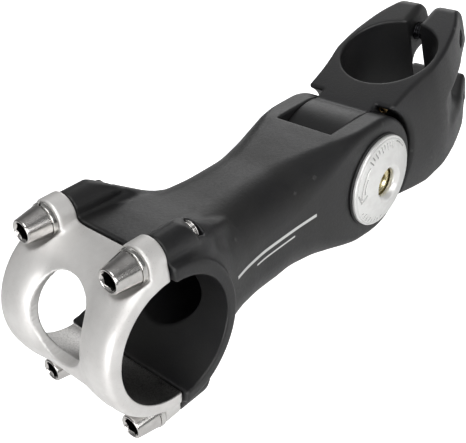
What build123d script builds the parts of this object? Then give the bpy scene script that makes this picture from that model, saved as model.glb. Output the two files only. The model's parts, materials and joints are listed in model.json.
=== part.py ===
from build123d import *
import os
import math

# Adjustable-angle threadless handlebar stem, in millimetres.
# Row frame: origin at the centre of the steerer bore, +X forward towards the
# handlebar, +Y to the rider's left, +Z up along the steerer.
# Extension frame: origin at the handlebar bore centre, +X forward, +Z square to
# the extension. It is swung up by rise_deg about the pivot into the row frame.
# "half" in a name is a half width along Y unless it says otherwise.

# ---- shared dimensions --------------------------------------------------
pivot_x = 35.5            # pivot axis ahead of the steerer axis
pivot_z = 5.2             # pivot axis above the middle of the steerer clamp
rise_deg = 20.2           # extension above horizontal
reach = 85.84             # handlebar bore centre to pivot axis

run = 0.05                # radial clearance of bolts, sleeve, rings and lock screw
lift = 0.03               # gap under each bolt head
far = 30.0                # cutters reach this far, clear of every flank

tongue_r = 17.8           # round end of the tongue
tongue_half = 8.95
slot_half = 9.05          # slot in the extension that takes the tongue
ear_r = 18.0              # round ends of the two ears
ear_half = 16.0           # outer faces of the ears

bolt_r = 2.5              # pinch and faceplate bolt shanks
bolt_hex = 4.0            # their sockets, across flats
pivot_bolt_r = 4.0
sleeve_r = 6.0            # sleeve in the tongue
tooth_seat_outer_r = 15.0
tooth_seat_inner_r = 8.0
tooth_ring_t = 1.5
pocket_y = 11.0           # floors of the pivot head and nut pockets
nut_across = 13.0         # across flats
spigot_hole_r = 8.5       # cap spigot holes in the ears
spigot_hole_y = 14.0      # floors of those holes

bar_r = 15.90             # handlebar bore radius, 31.8 mm bar
plate_bolt_y = 14.7       # faceplate bolt axes
plate_bolt_z = 20.8
plate_boss_x = 4.9        # front face of the faceplate barrels

SIDES = {"left": 1, "right": -1}
LEVELS = {"upper": 1, "lower": -1}
CORNERS = [(side, level) for side in (1, -1) for level in (1, -1)]

EXTENSION = (Location((pivot_x, 0, pivot_z)) * Rotation(0, -rise_deg, 0)
             * Location((reach, 0, 0)))
EXTENSION_PIVOT = EXTENSION * Pos(-reach, 0, 0)


# ---- helpers ------------------------------------------------------------
def plane_x(x, y=0.0, z=0.0, toward=1):
    """Plane square to X, facing +X or -X."""
    return Plane(origin=(x, y, z), x_dir=(0, 1, 0), z_dir=(toward, 0, 0))


def plane_y(y, x=0.0, z=0.0, toward=1):
    """Plane square to Y, facing +Y or -Y."""
    return Plane(origin=(x, y, z), x_dir=(1, 0, 0), z_dir=(0, toward, 0))


def cyl_x(radius, x0, x1, y=0.0, z=0.0):
    return extrude(plane_x(x0, y, z) * Circle(radius), amount=x1 - x0)


def cyl_y(radius, y0, y1, x=0.0, z=0.0):
    """Cylinder along Y between y0 and y1, given in either order."""
    y0, y1 = sorted((y0, y1))
    return extrude(plane_y(y0, x, z) * Circle(radius), amount=y1 - y0)


def tube_y(outer_r, inner_r, y0, y1, x=0.0, z=0.0):
    y0, y1 = sorted((y0, y1))
    return cyl_y(outer_r, y0, y1, x, z) - cyl_y(inner_r, y0 - 1, y1 + 1, x, z)


def cyl_z(radius, z0, z1):
    return extrude(Plane.XY.offset(z0) * Circle(radius), amount=z1 - z0)


def box(x0, x1, y0, y1, z0, z1):
    """Box between two corners; each pair may be in either order."""
    solid = Box(abs(x1 - x0), abs(y1 - y0), abs(z1 - z0))
    return Pos((x0 + x1) / 2, (y0 + y1) / 2, (z0 + z1) / 2) * solid


def prism_y(points, half_width=far):
    """Polygon of (x, z) points extruded from -half_width to +half_width."""
    face = make_face(Polyline([(x, -half_width, z) for x, z in points], close=True))
    return extrude(face, amount=2 * half_width, dir=(0, 1, 0))


def turned(points, axis):
    return revolve(make_face(Polyline(points, close=True)), axis=axis)


def turned_x(profile):
    """Solid of revolution about X from (x, radius) points."""
    return turned([(x, radius, 0) for x, radius in profile], Axis.X)


def turned_y(profile):
    """Solid of revolution about Y from (y, radius) points."""
    return turned([(radius, y, 0) for y, radius in profile], Axis.Y)


def hexagon_prism(across_flats, plane, depth):
    return extrude(plane * RegularPolygon(across_flats / 2, 6, major_radius=False), amount=depth)


def write_part(name, shape):
    """Write the largest solid of the shape as parts/<name>.step."""
    solid = max(shape.solids(), key=lambda item: item.volume)
    solid.label = name
    export_step(solid, "parts/" + name + ".step")


# ---- steerer clamp (row frame) ------------------------------------------
bore_r = 14.30            # 28.6 mm steerer
bore_chamfer = 0.55
clamp_half_h = 20.0       # half height of the clamp
clamp_rear_x = -26.4      # rear face of the pinch lugs
lug_edge_r = 2.0          # fillet of their upright rear edges
lug_round = 4.8           # rounding of their upper and lower rear corners
slit_w = 4.0              # slit behind the steerer bore
notch_x = -24.2           # middle of the notch between upper and lower lugs
notch_size = (18.0, 11.8, 3.5)  # length along X, height, corner radius
ring_outer_r = 18.0       # ring round the bore, bared between the lugs
ring_half_h = 5.0
relief_r = 19.9           # clamp shoulders are hollowed to this radius
relief_x = pivot_x + 1.2
relief_z = pivot_z + 1.0
shoulder_x = pivot_x - 6  # no shoulder remains ahead of this

pinch_x = -19.5           # pinch bolt axes
pinch_z = 12.6            # above and below mid height
pinch_counterbore_r = 4.75
pinch_seat = 5.0          # counterbore floors, to the right of the middle

lock_plane = Plane(origin=(20.75, 10.3, 17.2), x_dir=(0, 1, 0),
                   z_dir=(math.cos(math.radians(184)), 0, math.sin(math.radians(184))))
lock_r = 1.25
lock_len = 6.0

# Left flank of the clamp seen from above, front to rear, at three heights:
# z, then (x, y) points
FLANKS = [
    (-clamp_half_h, [(27, 14.0), (14, 15.2), (2, 15.3), (-10.5, 14.2), (-18.2, 11.9),
                     (clamp_rear_x, 8.0)]),
    (0, [(27, 15.5), (14, 16.9), (2, 17.7), (-9.5, 16.2), (-19.0, 13.0),
         (clamp_rear_x, 9.8)]),
    (clamp_half_h, [(27, 14.0), (14, 15.3), (2, 15.6), (-10.5, 14.6), (-18.2, 12.5),
                    (clamp_rear_x, 8.6)]),
]


def plan_face(z, flank):
    """Clamp outline at height z: curved flanks, flat front and rear."""
    left = [(x, y, z) for x, y in flank]
    right = [(x, -y, z) for x, y in flank]
    return make_face([
        Spline(*left),
        Line(left[-1], right[-1]),
        Spline(*reversed(right)),
        Line(right[0], left[0]),
    ])


def is_upright_lug_edge(edge):
    middle = edge.center()
    return abs(middle.X - clamp_rear_x) < 0.8 and abs(middle.Y) > 7.5 and abs(middle.Z) < 2


def steerer_clamp():
    top = clamp_half_h
    clamp = loft([plan_face(z, flank) for z, flank in FLANKS])
    clamp = fillet(clamp.edges().filter_by(is_upright_lug_edge), lug_edge_r)
    # bevel under the front, then shoulders hollowed round the pivot
    clamp -= prism_y([(12.3, -top - 1), (12.3, -top), (26.2, -12.0), (40, -4.05), (40, -top - 1)])
    for side in SIDES.values():
        clamp -= cyl_y(relief_r, side * tongue_half, side * far, relief_x, relief_z)
    clamp -= box(shoulder_x, 60, -far, far, -far, far)
    clamp -= cyl_y(relief_r, -tongue_half - 0.01, tongue_half + 0.01, relief_x, relief_z)
    # tongue: round about the pivot, running back into the clamp
    web_x = pivot_x - math.sqrt(tongue_r ** 2 - (top - pivot_z) ** 2)
    tongue = cyl_y(tongue_r, -tongue_half, tongue_half, pivot_x, pivot_z)
    tongue += prism_y([(6, top), (web_x, top), (pivot_x, pivot_z), (39.8, -12.05), (7, -top)],
                      tongue_half)
    clamp = clamp + tongue
    # steerer bore, slit and the notch between the lugs
    clamp -= cyl_z(bore_r, -top - 1, top + 1)
    clamp -= box(clamp_rear_x - 5, -10, -slit_w / 2, slit_w / 2, -top - 1, top + 1)
    clamp -= extrude(plane_y(-far, notch_x) * RectangleRounded(*notch_size), amount=2 * far)
    # upper and lower rear corners of the lugs
    round_x = clamp_rear_x + lug_round
    round_z = top - lug_round
    for level in LEVELS.values():
        corner = box(clamp_rear_x - 5, round_x, -far, far, level * round_z, level * (top + 5))
        clamp -= corner - cyl_y(lug_round, -far - 1, far + 1, round_x, level * round_z)
    # between the lugs the flanks follow the ring round the bore
    clamp -= (box(-35, -3, -far, far, -ring_half_h, ring_half_h)
              - cyl_z(ring_outer_r, -ring_half_h - 1, ring_half_h + 1))
    # pinch bolt holes, counterbored on the right
    for level in LEVELS.values():
        z = level * pinch_z
        clamp -= cyl_y(bolt_r + run, -far, far, pinch_x, z)
        clamp -= cyl_y(pinch_counterbore_r, -far, -pinch_seat, pinch_x, z)
    # sleeve hole and the seats of the two toothed rings
    clamp -= cyl_y(sleeve_r, -far, far, pivot_x, pivot_z)
    for side in SIDES.values():
        clamp -= tube_y(tooth_seat_outer_r, tooth_seat_inner_r,
                        side * (tongue_half - tooth_ring_t), side * far, pivot_x, pivot_z)
    # rim chamfers of the steerer bore
    for level in LEVELS.values():
        rim_z = level * (top + 0.001)
        clamp -= turned([(bore_r - 0.01, 0, level * (top - bore_chamfer)),
                         (bore_r + bore_chamfer, 0, rim_z),
                         (bore_r - 0.01, 0, rim_z)], Axis.Z)
    # angle-lock screw hole in the left shoulder
    clamp -= extrude(lock_plane * Circle(lock_r + run), amount=lock_len + 0.6)
    return clamp


def angle_lock_screw():
    screw = extrude(lock_plane * Circle(lock_r), amount=lock_len)
    screw = chamfer(screw.edges().filter_by(GeomType.CIRCLE), 0.25)
    return screw - hexagon_prism(1.3, lock_plane, 1.5)


# ---- pinch bolts and washers (about a Y axis through the origin) ---------
pinch_washer_t = 1.0
pinch_head_h = 4.9
pinch_tip_y = 11.6


def pinch_bolt():
    under_head = -pinch_seat - pinch_washer_t - lift
    head_top = under_head - pinch_head_h
    bolt = turned_y([
        (pinch_tip_y, 0), (pinch_tip_y, bolt_r - 0.4), (pinch_tip_y - 0.4, bolt_r),
        (under_head, bolt_r), (under_head, 4.15), (under_head - 0.15, 4.25),
        (head_top + 0.4, 4.25), (head_top, 3.9), (head_top, 0),
    ])
    return bolt - hexagon_prism(bolt_hex, plane_y(head_top), 2.8)


def pinch_washer():
    return tube_y(4.6, 2.65, -pinch_seat - pinch_washer_t, -pinch_seat)


# ---- extension body (extension frame) -----------------------------------
body_face_x = -0.5        # parting face of the body
body_front = (21.1, 19.5, 2.6)  # half width, half height, corner at the bar clamp
neck_x = -7.0             # the neck starts here, behind the bar clamp front
neck_lap = 0.6            # overlap of the front block and the neck
boss_r = 4.1              # barrels that take the faceplate bolts
ramp_x = -10.6            # the barrels run out down a slope through this point
ramp_z = 24.0
ramp_slope = 0.66
hollow_r = 12.0           # hollow behind the handlebar bore
hollow_x = -33.0          # rear end of its straight part
cap_seat_r = 14.3         # ear faces are cleared to this radius
head_pocket_r = 7.05      # pivot bolt head pocket in the left ear

# x, half width, half height, corner radius, height of centre
NECK = [
    (neck_x, *body_front, 0.0),
    (-16.0, 19.4, 17.9, 7.5, 0.0),
    (-26.0, 16.4, 16.4, 11.5, 0.0),
    (-38.0, 15.0, 16.0, 11.0, 0.0),
    (-52.0, 14.8, 16.1, 10.5, 0.0),
    (-64.0, 15.4, 16.5, 7.5, 0.5),
    (-75.0, ear_half, ear_r, 3.2, 0.0),
]


def section(x, half_width, half_height, corner_r, z=0.0):
    return plane_x(x, z=z) * RectangleRounded(2 * half_width, 2 * half_height, corner_r)


def is_ear_rim(edge):
    middle = edge.center()
    return abs(abs(middle.Y) - ear_half) < 1e-3 and middle.X < -74.5


def body_barrel(side, level):
    """Bolt barrel whose rear end slopes down into the neck."""
    y, z = side * plate_bolt_y, level * plate_bolt_z
    barrel = cyl_x(boss_r, -20.0, body_face_x, y, z)
    barrel += box(-17.0, body_face_x, y - 3.6, y + 3.6, level * 14, z)
    barrel -= prism_y([
        (ramp_x + 3.0 / ramp_slope, level * (ramp_z + 3)),
        (-26, level * (ramp_z + ramp_slope * (-26 - ramp_x))),
        (-26, level * (ramp_z + 3)),
    ])
    return barrel


def extension_body():
    neck = loft([section(*station) for station in NECK])
    front = extrude(section(body_face_x, *body_front), amount=neck_x - body_face_x - neck_lap)
    body = front + neck
    ears = (cyl_y(ear_r, -ear_half, ear_half, -reach)
            + box(-reach, -74.0, -ear_half, ear_half, -ear_r, ear_r))
    body += fillet(ears.edges().filter_by(is_ear_rim), 2.4)
    for side, level in CORNERS:
        body += body_barrel(side, level)
    # handlebar bore, hollow behind it, slot for the tongue
    body -= cyl_y(bar_r, -far, far)
    body -= cyl_x(hollow_r, hollow_x, 0)
    body -= turned_x([(hollow_x, 0), (hollow_x, hollow_r), (-52.0, 7.5), (-56.0, 0)])
    body -= cyl_y(tongue_r + 1.0, -slot_half, slot_half, -reach)
    body -= box(-130, -72.0, -slot_half, slot_half, -far, far)
    # blind bolt holes that break out through the slopes
    for side, level in CORNERS:
        hole = turned_x([(-15.2, 0), (-13.8, bolt_r + run), (5, bolt_r + run), (5, 0)])
        body -= Pos(0, side * plate_bolt_y, level * plate_bolt_z) * hole
    for side in SIDES.values():
        body -= cyl_y(cap_seat_r, side * ear_half, side * far, -reach)
    # pivot hole, head pocket, spigot holes, nut pocket and toothed ring seats
    body -= cyl_y(pivot_bolt_r + run, -far, far, -reach)
    body -= cyl_y(head_pocket_r, pocket_y, far, -reach)
    for side in SIDES.values():
        body -= cyl_y(spigot_hole_r, side * spigot_hole_y, side * far, -reach)
    body -= hexagon_prism(nut_across + 2 * run, plane_y(-pocket_y, -reach, toward=-1), 10)
    for side in SIDES.values():
        body -= tube_y(tooth_seat_outer_r, tooth_seat_inner_r, side * (slot_half - 0.001),
                       side * (slot_half + tooth_ring_t), -reach)
    return body


# ---- faceplate (extension frame) ----------------------------------------
plate_face_x = 0.0        # parting face of the faceplate
plate_half = 19.85
bridge_r = 18.9           # bridges that join the bands above and below the window
barrel_radii = {1: 4.75, -1: 4.3}  # upper and lower barrels
spot_r = 4.8              # recesses in the bands round the bolt heads
window_half = 9.4         # oval window
window_half_h = 9.6
window_z = 4.9            # middle of the window above the bar centre line

# Section of the left band, outer flank to inner: y, radius from the bar axis
BAND = [
    (plate_half, bar_r), (plate_half, 18.6), (19.2, 19.35), (18.1, 19.85), (16.8, 20.1),
    (15.2, 20.2), (13.6, 20.15), (12.2, 19.8), (11.1, 19.2), (10.2, 18.4),
    (window_half, 17.5), (window_half, bar_r),
]


def faceplate():
    band = turned([(0, y, radius) for y, radius in BAND], Axis.Y)
    plate = band + mirror(band, Plane.XZ)
    plate = plate + cyl_y(bridge_r, -window_half - 0.6, window_half + 0.6)
    for level in LEVELS.values():
        plate += box(0, 4.6, -11.5, 11.5, level * 14.0, level * 19.4)
    for side, level in CORNERS:
        y, z = side * plate_bolt_y, level * plate_bolt_z
        radius = barrel_radii[level]
        barrel = cyl_x(radius, 0, plate_boss_x, y, z)
        barrel += box(0, plate_boss_x, y - radius, y + radius, level * 12, z)
        plate += barrel
    plate -= cyl_y(bar_r, -far, far)
    plate -= box(-40, plate_face_x, -far, far, -40, 40)
    plate -= extrude(plane_x(3.0, z=window_z) * Ellipse(window_half, window_half_h), amount=25)
    for side, level in CORNERS:
        y, z = side * plate_bolt_y, level * plate_bolt_z
        plate -= cyl_x(bolt_r + run, -5, 10, y, z)
        plate -= cyl_x(spot_r, plate_boss_x, 25, y, z)
    return plate


# ---- faceplate bolts and spring washers (about the X axis) ---------------
spring_washer_front = plate_boss_x + 1.3
plate_tip_x = -12.8
plate_head_front = 12.45


def faceplate_bolt():
    under_head = spring_washer_front + lift
    front = plate_head_front
    bolt = turned_x([
        (plate_tip_x, 0), (plate_tip_x, bolt_r - 0.4), (plate_tip_x + 0.4, bolt_r),
        (under_head, bolt_r), (under_head, 3.9), (under_head + 0.25, 4.05),
        (front - 0.3, 3.15), (front, 2.9), (front, 0),
    ])
    bolt -= hexagon_prism(bolt_hex, plane_x(front, toward=-1), 3.6)
    # lead-in of the socket
    bolt -= turned_x([(front - 0.3, 2.1), (front + 0.01, 2.5), (front + 0.01, 0),
                      (front - 0.45, 0)])
    return bolt


def spring_washer(gap_deg):
    """Split washer with a slanted gap, turned by gap_deg about X."""
    washer = (cyl_x(4.3, plate_boss_x, spring_washer_front)
              - cyl_x(2.62, plate_boss_x - 1, spring_washer_front + 1))
    outer_edges = washer.edges().filter_by(GeomType.CIRCLE).filter_by(lambda edge: edge.radius > 4)
    washer = chamfer(outer_edges, 0.18)
    middle_x = (plate_boss_x + spring_washer_front) / 2
    gap = Pos(middle_x, 3.6, 0) * Rotation(0, 0, 38) * Box(6, 0.45, 6)
    return washer - Rotation(gap_deg, 0, 0) * gap


# ---- pivot parts (pivot axis along Y through the origin) -----------------
tooth_count = 36
# Widening V groove at each end: radius, half width, depth
GROOVE = [(7.0, 0.42, 0.45), (16.0, 0.96, 0.75)]
pivot_washer_t = 1.0
pivot_tip_y = -16.6
pivot_head_y = 17.1       # outer face of the bolt head
cap_r = 13.47
cap_rim_y = 17.44
cap_top_y = 19.9
cap_hole_r = 4.25
spigot_outer_r = 8.48
spigot_inner_r = 7.65
spigot_end_y = 14.05
cap_ring_y = 16.55        # outer face of the ring below each cap


def tooth_ring(base, crest):
    """Flat ring from base to crest along Y with radial V grooves on the crest side."""
    ring = tube_y(tooth_seat_outer_r - run, tooth_seat_inner_r + run, base, crest)
    outward = 1 if crest > base else -1
    ends = [
        make_face(Polyline([(radius, crest + outward * 0.01, -half_width),
                            (radius, crest + outward * 0.01, half_width),
                            (radius, crest - outward * depth, 0)], close=True))
        for radius, half_width, depth in GROOVE
    ]
    groove = loft(ends)
    return ring - [Rotation(0, 360.0 * i / tooth_count, 0) * groove for i in range(tooth_count)]


def pivot_bolt():
    under_head = pocket_y + pivot_washer_t + lift
    bolt = turned_y([
        (pivot_tip_y, 0), (pivot_tip_y, pivot_bolt_r - 0.4), (pivot_tip_y + 0.4, pivot_bolt_r),
        (under_head, pivot_bolt_r), (under_head, 6.3), (12.2, 6.5),
        (pivot_head_y - 0.5, 6.5), (pivot_head_y, 6.0), (pivot_head_y, 0),
    ])
    bolt -= hexagon_prism(6.0, plane_y(pivot_head_y, toward=-1), 4.0)
    # lead-in of the socket
    bolt -= turned_y([(pivot_head_y - 0.4, 3.4), (pivot_head_y + 0.01, 3.9),
                      (pivot_head_y + 0.01, 0), (pivot_head_y - 0.4, 0)])
    return bolt


def pivot_nut():
    nut = hexagon_prism(nut_across, plane_y(-pocket_y, toward=-1), 5.5)
    nut -= cyl_y(pivot_bolt_r + run, -20, 0)
    # chamfered outer corners
    return nut & turned_y([(-10.9, 0), (-10.9, 7.6), (-15.9, 7.6), (-16.5, 6.9), (-16.5, 0)])


def pivot_cap():
    """Left cap: domed cover with a tubular spigot towards the ear."""
    return turned_y([
        (18.7, cap_hole_r), (cap_top_y, cap_hole_r + 1.15), (cap_top_y - 0.05, cap_hole_r + 1.6),
        (cap_rim_y + 0.25, cap_r - 0.45), (cap_rim_y - 0.1, cap_r), (cap_ring_y, cap_r),
        (cap_ring_y, spigot_outer_r), (spigot_end_y, spigot_outer_r),
        (spigot_end_y, spigot_inner_r), (17.5, spigot_inner_r), (17.9, cap_hole_r),
    ])


# ---- place and write the parts ------------------------------------------
os.makedirs("parts", exist_ok=True)

write_part("steerer_clamp", steerer_clamp())
write_part("angle_lock_screw", angle_lock_screw())
write_part("extension_body", EXTENSION * extension_body())
write_part("faceplate", EXTENSION * faceplate())

for level_name, level in LEVELS.items():
    place = Pos(pinch_x, 0, level * pinch_z)
    write_part("pinch_bolt_" + level_name, place * pinch_bolt())
    write_part("pinch_washer_" + level_name, place * pinch_washer())
    for side_name, side in SIDES.items():
        corner_name = level_name + "_" + side_name
        place = EXTENSION * Pos(0, side * plate_bolt_y, level * plate_bolt_z)
        write_part("faceplate_bolt_" + corner_name, place * faceplate_bolt())
        washer = spring_washer(gap_deg=35 if side > 0 else 60)
        write_part("spring_washer_" + corner_name, place * washer)

write_part("pivot_sleeve", tube_y(sleeve_r, pivot_bolt_r + run, -8.8, 8.8, pivot_x, pivot_z))
write_part("pivot_bolt", EXTENSION_PIVOT * pivot_bolt())
write_part("pivot_washer", EXTENSION_PIVOT * tube_y(6.95, 4.15, pocket_y,
                                                    pocket_y + pivot_washer_t))
write_part("pivot_nut", EXTENSION_PIVOT * pivot_nut())

for side_name, side in SIDES.items():
    tongue_ring = tooth_ring(side * (tongue_half - tooth_ring_t), side * tongue_half)
    write_part("tongue_tooth_ring_" + side_name, Pos(pivot_x, 0, pivot_z) * tongue_ring)
    ear_ring = tooth_ring(side * (slot_half + tooth_ring_t), side * slot_half)
    write_part("ear_tooth_ring_" + side_name, EXTENSION_PIVOT * ear_ring)
    cap = pivot_cap() if side > 0 else mirror(pivot_cap(), Plane.XZ)
    write_part("pivot_cap_" + side_name, EXTENSION_PIVOT * cap)
    cap_ring = tube_y(13.95, 8.6, side * ear_half, side * cap_ring_y)
    write_part("cap_ring_" + side_name, EXTENSION_PIVOT * cap_ring)
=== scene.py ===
"""A bicycle handlebar stem of adjustable angle: a clamp on the steerer, an extension that
swings on a pivot bolt, and a faceplate held by four bolts.

The row frame has the steerer bore along Z through the origin, +X forward and +Y left.
The extension frame has its origin at the centre of the bar bore, +X forward along the
extension, +Y left and +Z square to both. Shapes are in millimetres, the scene in metres.
"""
import json
import math
import bpy
import bmesh
import numpy as np
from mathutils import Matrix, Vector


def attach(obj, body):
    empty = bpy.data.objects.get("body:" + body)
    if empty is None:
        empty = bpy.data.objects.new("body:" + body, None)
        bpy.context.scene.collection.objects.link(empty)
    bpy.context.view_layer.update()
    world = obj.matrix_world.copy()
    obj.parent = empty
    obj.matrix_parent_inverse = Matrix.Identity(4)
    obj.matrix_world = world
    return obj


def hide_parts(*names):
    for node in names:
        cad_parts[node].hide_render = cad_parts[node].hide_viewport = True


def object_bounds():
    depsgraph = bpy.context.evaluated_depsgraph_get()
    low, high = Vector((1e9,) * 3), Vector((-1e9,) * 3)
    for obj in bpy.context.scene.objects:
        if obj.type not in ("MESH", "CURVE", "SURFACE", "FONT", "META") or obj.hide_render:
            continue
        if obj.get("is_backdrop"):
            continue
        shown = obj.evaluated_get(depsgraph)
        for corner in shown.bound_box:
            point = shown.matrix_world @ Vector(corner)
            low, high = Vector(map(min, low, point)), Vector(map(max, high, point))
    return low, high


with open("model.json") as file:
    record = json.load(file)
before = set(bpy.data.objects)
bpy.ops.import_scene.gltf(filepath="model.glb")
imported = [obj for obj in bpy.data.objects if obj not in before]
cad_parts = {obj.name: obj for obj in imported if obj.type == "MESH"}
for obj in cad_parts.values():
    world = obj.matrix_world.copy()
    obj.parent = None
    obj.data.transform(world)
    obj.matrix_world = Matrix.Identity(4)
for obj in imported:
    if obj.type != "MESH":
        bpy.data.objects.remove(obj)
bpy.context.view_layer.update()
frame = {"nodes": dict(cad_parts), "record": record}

import openvdb
from mathutils import Vector

MM = 0.001
record = frame["record"]
mounts = {mount["name"]: mount for mount in record["mounts"]}
joints = {joint["name"]: joint for joint in record["behaviour"]["joints"]}

# ======================= driving dimensions ================================
PIVOT = np.array(joints["stem_angle"]["pos_m"], float) * 1000.0
BAR = np.array(mounts["bar_clamp"]["pos_m"], float) * 1000.0
REACH = float(np.hypot(BAR[0] - PIVOT[0], BAR[2] - PIVOT[2]))
RISE = math.atan2(BAR[2] - PIVOT[2], BAR[0] - PIVOT[0])
COS_RISE, SIN_RISE = math.cos(RISE), math.sin(RISE)
BORE_R = mounts["steerer_clamp"]["dims"]["r_mm"]
BAR_R = mounts["bar_clamp"]["dims"]["r_mm"]
CLAMP_HALF_H = mounts["steerer_clamp"]["dims"]["length_mm"] / 2.0

TONGUE_HALF_W, SLOT_HALF_W = 8.95, 9.05
TONGUE_R, RELIEF_R = 17.8, 19.9
SEAT_INNER_R, SEAT_OUTER_R = 8.0, 15.0    # ring seats beside the tongue
BAR_HALF_W, PLATE_HALF_W = 21.1, 19.85
BOLT_Y, BOLT_Z = 14.7, 20.8               # faceplate bolts, either side of the bar centre
FACE_X = -0.5                             # parting face of the extension
PINCH_X, PINCH_Z = -19.5, 12.6            # pinch bolts, above and below the row origin
REAR_X, LUG_R = -26.4, 4.8

# grid cells of the fields
BODY_CELL = 0.45
PLATE_CELL = 0.32
CAP_CELL = 0.17
SMALL_CELL = 0.15


def ext_to_row(v):
    """Extension frame (mm) to row frame (m)."""
    v = np.asarray(v, float)
    x = v[..., 0] + REACH
    out = np.empty(v.shape)
    out[..., 0] = COS_RISE * x - SIN_RISE * v[..., 2] + PIVOT[0]
    out[..., 1] = v[..., 1]
    out[..., 2] = SIN_RISE * x + COS_RISE * v[..., 2] + PIVOT[2]
    return out * MM


def to_metres(v):
    return np.asarray(v, float) * MM


# ======================= distance-field modelling ==========================
# A field is negative inside the shape and positive outside it.
def meet(a, b, radius=None):
    """Intersection, with a true round of the given radius if there is one."""
    if radius is None:
        return np.maximum(a, b)
    return (np.minimum(-radius, np.maximum(a, b))
            + np.hypot(np.maximum(a + radius, 0.0), np.maximum(b + radius, 0.0)))


def cut(body, tool, radius=None):
    return meet(body, -tool, radius)


def join(a, b, blend=None):
    """Union, blended smoothly over the given distance if there is one."""
    if blend is None:
        return np.minimum(a, b)
    near = np.maximum(blend - np.abs(a - b), 0.0) / blend
    return np.minimum(a, b) - near * near * blend * 0.25


def soft_meet(a, b, blend):
    return -join(-a, -b, blend)


def soft_cut(body, tool, blend):
    return soft_meet(body, -tool, blend)


def between(value, low, high):
    return np.maximum(low - value, value - high)


def off_axis(a, b):
    return np.sqrt(a * a + b * b)


def interp(x, stations, values):
    """Smooth (monotone cubic) interpolation through stations."""
    stations, values = np.asarray(stations, float), np.asarray(values, float)
    width = np.diff(stations)
    slope = np.diff(values) / width
    tangent = np.zeros_like(values)
    tangent[0], tangent[-1] = slope[0], slope[-1]
    for i in range(1, len(stations) - 1):
        if slope[i - 1] * slope[i] > 0:
            before, after = 2 * width[i] + width[i - 1], width[i] + 2 * width[i - 1]
            tangent[i] = (before + after) / (before / slope[i - 1] + after / slope[i])
    x = np.clip(x, stations[0], stations[-1])
    i = np.clip(np.searchsorted(stations, x, side="right") - 1, 0, len(stations) - 2)
    t = (x - stations[i]) / width[i]
    t2, t3 = t * t, t * t * t
    return ((2 * t3 - 3 * t2 + 1) * values[i] + (t3 - 2 * t2 + t) * width[i] * tangent[i]
            + (-2 * t3 + 3 * t2) * values[i + 1] + (t3 - t2) * width[i] * tangent[i + 1])


def rounded_box(a, b, half_a, half_b, radius):
    """Rounded rectangle in two coordinates."""
    out_a, out_b = np.abs(a) - half_a + radius, np.abs(b) - half_b + radius
    return (np.hypot(np.maximum(out_a, 0), np.maximum(out_b, 0))
            + np.minimum(np.maximum(out_a, out_b), 0) - radius)


# ======================= meshes ============================================
def link_object(name, data):
    ob = bpy.data.objects.new(name, data)
    bpy.context.scene.collection.objects.link(ob)
    return ob


def finish_mesh(mesh, bm):
    """Write bm to the mesh with outward normals and smooth shading."""
    bmesh.ops.recalc_face_normals(bm, faces=bm.faces)
    bm.to_mesh(mesh)
    bm.free()
    for face in mesh.polygons:
        face.use_smooth = True
    mesh.update()


def keep_largest(bm):
    seen, groups = set(), []
    for start in bm.verts:
        if start in seen:
            continue
        stack, group = [start], []
        seen.add(start)
        while stack:
            vert = stack.pop()
            group.append(vert)
            for edge in vert.link_edges:
                other = edge.other_vert(vert)
                if other not in seen:
                    seen.add(other)
                    stack.append(other)
        groups.append(group)
    groups.sort(key=len, reverse=True)
    for group in groups[1:]:
        bmesh.ops.delete(bm, geom=group, context="VERTS")


def mesh_from_field(name, field, low, high, cell, to_row, keep_all=False):
    """Closed smooth mesh of field = 0, sampled on a grid and then moved onto the surface."""
    slab, nudge_size, passes = 24, 0.02, 3
    low = np.asarray(low, float)
    count = [int(math.ceil((b - a) / cell)) + 1 for a, b in zip(low, high)]
    axes = [low[i] + cell * np.arange(count[i]) for i in range(3)]
    volume = np.empty(count, np.float32)
    for i in range(0, count[0], slab):
        x = axes[0][i:i + slab][:, None, None]
        values = field(x, axes[1][None, :, None], axes[2][None, None, :])
        volume[i:i + slab] = np.broadcast_to(values, (len(x), count[1], count[2]))
    grid = openvdb.FloatGrid(background=3.0 * cell)
    grid.copyFromArray(np.clip(volume, -3 * cell, 3 * cell).astype(np.float32), tolerance=0.0)
    points, tris, quads = grid.convertToPolygons(isovalue=0.0, adaptivity=0.0)
    v = np.asarray(points, float) * cell + low
    for _ in range(passes):
        dist = field(*v.T)
        gradient = np.stack([field(*(v + nudge).T) - field(*(v - nudge).T)
                             for nudge in np.eye(3) * nudge_size], 1) / (2 * nudge_size)
        steepness = np.maximum((gradient * gradient).sum(1), 0.15)
        move = np.clip(dist / steepness, -0.6 * cell, 0.6 * cell)
        v = v - gradient * move[:, None]
    faces = [tuple(int(i) for i in face[::-1]) for part in (quads, tris) for face in part]
    mesh = bpy.data.meshes.new(name)
    mesh.from_pydata([tuple(p) for p in to_row(v)], [], faces)
    mesh.update()
    ob = link_object(name, mesh)
    bm = bmesh.new()
    bm.from_mesh(mesh)
    bmesh.ops.remove_doubles(bm, verts=bm.verts, dist=0.11 * cell * MM)
    if not keep_all:
        keep_largest(bm)
    finish_mesh(mesh, bm)
    return ob


def place(name, source, to_row):
    """A copy of a local mesh with its vertices put in place by to_row (mm in, m out)."""
    mesh = source.data.copy()
    mesh.name = name
    count = len(mesh.vertices)
    coords = np.empty(count * 3)
    mesh.vertices.foreach_get("co", coords)
    mesh.vertices.foreach_set("co", to_row(coords.reshape(count, 3) / MM).reshape(-1))
    mesh.update()
    return link_object(name, mesh)


def drop(ob):
    bpy.data.objects.remove(ob, do_unlink=True)


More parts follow.
